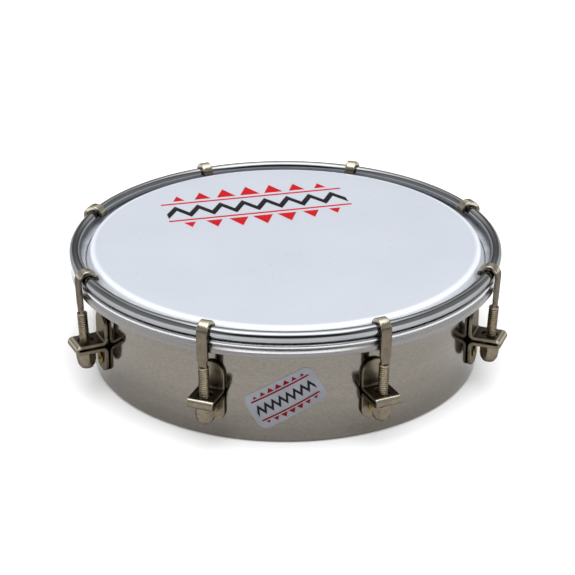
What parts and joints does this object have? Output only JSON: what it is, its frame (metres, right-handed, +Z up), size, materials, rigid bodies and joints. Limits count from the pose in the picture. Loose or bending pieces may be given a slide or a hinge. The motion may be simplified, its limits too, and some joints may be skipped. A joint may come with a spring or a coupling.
{
  "type": "tamborim",
  "caption": "Small hand drum: a metal shell with turned-in edges and a film head drawn down by a round rod hoop, flat hooks and key nuts on folded brackets.",
  "frame": {"origin": "centre of the shell's lower rim, on the surface that the drum stands on", "axes": "+Z up along the drum's axis towards the head; +X and +Y each lie half way between two tuners"},
  "size_m": [0.169, 0.169, 0.0504],
  "materials": {
    "shell_aluminium": "brushed round the shell, satin",
    "head_film": "smooth milky plastic film, satin",
    "hoop_aluminium": "drawn aluminium, satin",
    "potting_resin": "cast resin, dull",
    "chromed_rod": "polished chrome plate",
    "nickel_sheet": "warm nickel plate, semi-gloss",
    "nickel_hook": "warm nickel plate, semi-gloss",
    "nickel_nut": "warm nickel plate, semi-gloss",
    "yellow_rivet": "yellow passivated rivet, semi-gloss"
  },
  "bodies": {
    "drum_body": {"shell": "shell_aluminium", "drumhead_film": "head_film", "bracket_1": "nickel_sheet", "bracket_2": "nickel_sheet", "bracket_3": "nickel_sheet", "bracket_4": "nickel_sheet", "bracket_5": "nickel_sheet", "bracket_6": "nickel_sheet", "bracket_7": "nickel_sheet", "bracket_8": "nickel_sheet", "upper_rivet_1": "nickel_sheet", "upper_rivet_2": "nickel_sheet", "upper_rivet_3": "nickel_sheet", "upper_rivet_4": "nickel_sheet", "upper_rivet_5": "nickel_sheet", "upper_rivet_6": "nickel_sheet", "upper_rivet_7": "nickel_sheet", "upper_rivet_8": "nickel_sheet", "lower_rivet_1": "yellow_rivet", "lower_rivet_2": "yellow_rivet", "lower_rivet_3": "yellow_rivet", "lower_rivet_4": "yellow_rivet", "lower_rivet_5": "yellow_rivet", "lower_rivet_6": "yellow_rivet", "lower_rivet_7": "yellow_rivet", "lower_rivet_8": "yellow_rivet"},
    "rim": {"flesh_hoop": "hoop_aluminium", "potting_resin": "potting_resin", "counter_hoop": "chromed_rod"},
    "hook_1": {"hook_1": "nickel_hook"},
    "nut_1": {"nut_1": "nickel_nut"},
    "hook_2": {"hook_2": "nickel_hook"},
    "nut_2": {"nut_2": "nickel_nut"},
    "hook_3": {"hook_3": "nickel_hook"},
    "nut_3": {"nut_3": "nickel_nut"},
    "hook_4": {"hook_4": "nickel_hook"},
    "nut_4": {"nut_4": "nickel_nut"},
    "hook_5": {"hook_5": "nickel_hook"},
    "nut_5": {"nut_5": "nickel_nut"},
    "hook_6": {"hook_6": "nickel_hook"},
    "nut_6": {"nut_6": "nickel_nut"},
    "hook_7": {"hook_7": "nickel_hook"},
    "nut_7": {"nut_7": "nickel_nut"},
    "hook_8": {"hook_8": "nickel_hook"},
    "nut_8": {"nut_8": "nickel_nut"}
  },
  "joints": [
    {"name": "hoop_draw", "type": "slide", "parent": "drum_body", "child": "rim", "axis": [0, 0, -1], "range_m": [-0.001, 0.0015]},
    {"name": "hook_1_lift", "type": "slide", "parent": "rim", "child": "hook_1", "axis": [0.0451, 0.0187, 0.9988], "range_m": [0, 0.004]},
    {"name": "nut_1_turn", "type": "hinge", "parent": "drum_body", "child": "nut_1", "pos_m": [0.0775, 0.0321, 0.0173], "axis": [-0.0451, -0.0187, -0.9988], "range_deg": [0, 1801]},
    {"name": "hook_2_lift", "type": "slide", "parent": "rim", "child": "hook_2", "axis": [0.0187, 0.0451, 0.9988], "range_m": [0, 0.004]},
    {"name": "nut_2_turn", "type": "hinge", "parent": "drum_body", "child": "nut_2", "pos_m": [0.0321, 0.0775, 0.0173], "axis": [-0.0187, -0.0451, -0.9988], "range_deg": [0, 1801]},
    {"name": "hook_3_lift", "type": "slide", "parent": "rim", "child": "hook_3", "axis": [-0.0187, 0.0451, 0.9988], "range_m": [0, 0.004]},
    {"name": "nut_3_turn", "type": "hinge", "parent": "drum_body", "child": "nut_3", "pos_m": [-0.0321, 0.0775, 0.0173], "axis": [0.0187, -0.0451, -0.9988], "range_deg": [0, 1801]},
    {"name": "hook_4_lift", "type": "slide", "parent": "rim", "child": "hook_4", "axis": [-0.0451, 0.0187, 0.9988], "range_m": [0, 0.004]},
    {"name": "nut_4_turn", "type": "hinge", "parent": "drum_body", "child": "nut_4", "pos_m": [-0.0775, 0.0321, 0.0173], "axis": [0.0451, -0.0187, -0.9988], "range_deg": [0, 1801]},
    {"name": "hook_5_lift", "type": "slide", "parent": "rim", "child": "hook_5", "axis": [-0.0451, -0.0187, 0.9988], "range_m": [0, 0.004]},
    {"name": "nut_5_turn", "type": "hinge", "parent": "drum_body", "child": "nut_5", "pos_m": [-0.0775, -0.0321, 0.0173], "axis": [0.0451, 0.0187, -0.9988], "range_deg": [0, 1801]},
    {"name": "hook_6_lift", "type": "slide", "parent": "rim", "child": "hook_6", "axis": [-0.0187, -0.0451, 0.9988], "range_m": [0, 0.004]},
    {"name": "nut_6_turn", "type": "hinge", "parent": "drum_body", "child": "nut_6", "pos_m": [-0.0321, -0.0775, 0.0173], "axis": [0.0187, 0.0451, -0.9988], "range_deg": [0, 1801]},
    {"name": "hook_7_lift", "type": "slide", "parent": "rim", "child": "hook_7", "axis": [0.0187, -0.0451, 0.9988], "range_m": [0, 0.004]},
    {"name": "nut_7_turn", "type": "hinge", "parent": "drum_body", "child": "nut_7", "pos_m": [0.0321, -0.0775, 0.0173], "axis": [-0.0187, 0.0451, -0.9988], "range_deg": [0, 1801]},
    {"name": "hook_8_lift", "type": "slide", "parent": "rim", "child": "hook_8", "axis": [0.0451, -0.0187, 0.9988], "range_m": [0, 0.004]},
    {"name": "nut_8_turn", "type": "hinge", "parent": "drum_body", "child": "nut_8", "pos_m": [0.0775, -0.0321, 0.0173], "axis": [-0.0451, 0.0187, -0.9988], "range_deg": [0, 1801]}
  ],
  "couplings": [
    {"joint": "nut_1_turn", "follows": "hook_1_lift", "rad_per_m": 7854},
    {"joint": "nut_2_turn", "follows": "hook_2_lift", "rad_per_m": 7854},
    {"joint": "nut_3_turn", "follows": "hook_3_lift", "rad_per_m": 7854},
    {"joint": "nut_4_turn", "follows": "hook_4_lift", "rad_per_m": 7854},
    {"joint": "nut_5_turn", "follows": "hook_5_lift", "rad_per_m": 7854},
    {"joint": "nut_6_turn", "follows": "hook_6_lift", "rad_per_m": 7854},
    {"joint": "nut_7_turn", "follows": "hook_7_lift", "rad_per_m": 7854},
    {"joint": "nut_8_turn", "follows": "hook_8_lift", "rad_per_m": 7854}
  ]
}
